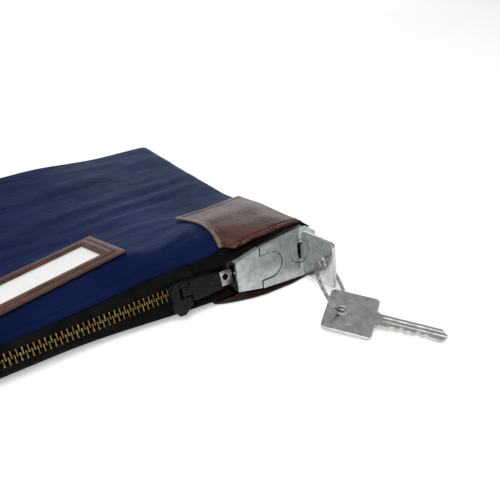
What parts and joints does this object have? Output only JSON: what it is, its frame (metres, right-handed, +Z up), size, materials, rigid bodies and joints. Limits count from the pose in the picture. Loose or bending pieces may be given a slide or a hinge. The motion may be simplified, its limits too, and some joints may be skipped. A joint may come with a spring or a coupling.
{
  "type": "cash deposit bag",
  "caption": "Flat zip-up cash deposit bag in navy nylon with a leatherette corner, a key lock at the zip's end, a label holder, and two keys on a split ring.",
  "frame": {"origin": "on the underside of the bag, at its middle", "axes": "+X along the zip towards the lock, +Y from the zip to the far edge, +Z up"},
  "size_m": [0.2947, 0.2985, 0.0328],
  "materials": {
    "fabric": "coated nylon weave, slight sheen",
    "tape": "woven black tape",
    "vinyl": "grained brown leatherette, satin",
    "brass": "antique brass",
    "steel": "plain zinc-plated",
    "nickel": "satin nickel",
    "black_metal": "black lacquer",
    "card": "plain white card",
    "clear_plastic": "clear sheet"
  },
  "bodies": {
    "bag": {"lower_panel": "fabric", "upper_panel": "fabric", "patch_upper": "vinyl", "patch_lower": "vinyl", "zip_tape_upper": "tape", "zip_tape_lower": "tape", "teeth_upper": "brass", "teeth_lower": "brass", "stop_left": "brass", "stop_right": "brass", "tape_tail": "tape", "lock_base": "steel", "base_screw_left": "steel", "base_screw_right": "steel", "backing_plate": "steel", "nose_plate": "nickel", "return_spring": "steel", "holder_backing": "tape", "clear_window": "clear_plastic", "holder_rail_near": "vinyl", "holder_rail_far": "vinyl", "holder_rail_left": "vinyl", "holder_rail_right": "vinyl"},
    "slider": {"slider_body": "black_metal", "slider_back_plate": "black_metal", "pull_pin": "steel"},
    "pull": {"pull_grip": "black_metal", "tongue": "steel", "tongue_rivet": "black_metal"},
    "block": {"lock_block": "nickel", "chamber_cap": "brass", "latch_arm": "steel", "latch_screw_left": "steel", "latch_screw_right": "steel", "driver_pin_1": "brass", "driver_pin_2": "brass", "driver_pin_3": "brass", "driver_pin_4": "brass", "driver_pin_5": "brass", "pin_spring_1": "steel", "pin_spring_2": "steel", "pin_spring_3": "steel", "pin_spring_4": "steel", "pin_spring_5": "steel"},
    "bolt": {"lock_bolt": "steel"},
    "plug": {"plug": "steel", "plug_clip": "steel", "key_pin_1": "brass", "key_pin_2": "brass", "key_pin_3": "brass", "key_pin_4": "brass", "key_pin_5": "brass"},
    "key": {"key_in_lock": "nickel"},
    "ring": {"key_ring": "nickel"},
    "spare": {"spare_key": "nickel"},
    "card": {"label_card": "card"}
  },
  "joints": [
    {"name": "slider_travel", "type": "slide", "parent": "bag", "child": "slider", "axis": [1, 0, 0], "range_m": [-0.183, 0.0062]},
    {"name": "pull_swing", "type": "hinge", "parent": "slider", "child": "pull", "pos_m": [0.0615, -0.10207, 0.01415], "axis": [0, -0.342, -0.9397], "range_deg": [0, 150]},
    {"name": "block_press", "type": "slide", "parent": "bag", "child": "block", "axis": [0, 0.989, -0.1478], "range_m": [0, 0.003], "stiffness_N_per_m": 900, "deforming": ["return_spring"]},
    {"name": "plug_turn", "type": "hinge", "parent": "block", "child": "plug", "pos_m": [0.1293, -0.10965, 0.01654], "axis": [0, -0.989, 0.1478], "range_deg": [0, 90]},
    {"name": "bolt_shoot", "type": "slide", "parent": "block", "child": "bolt", "axis": [1, 0, 0], "range_m": [0, 0.0013]},
    {"name": "key_withdraw", "type": "slide", "parent": "plug", "child": "key", "axis": [0, -0.989, 0.1478], "range_m": [0, 0.032]},
    {"name": "ring_swing", "type": "hinge", "parent": "key", "child": "ring", "pos_m": [0.1293, -0.12835, 0.01933], "axis": [1, 0, 0], "range_deg": [-75, 20]},
    {"name": "spare_key_swing", "type": "hinge", "parent": "ring", "child": "spare", "pos_m": [0.12199, -0.15107, 0.00485], "axis": [-0.1291, -0.1643, 0.9779], "range_deg": [-20, 20]},
    {"name": "card_slide", "type": "slide", "parent": "bag", "child": "card", "axis": [0.9869, 0.1528, 0.0519], "range_m": [0, 0.072]}
  ],
  "couplings": [
    {"joint": "bolt_shoot", "follows": "plug_turn", "m_per_rad": 0.00082752}
  ]
}
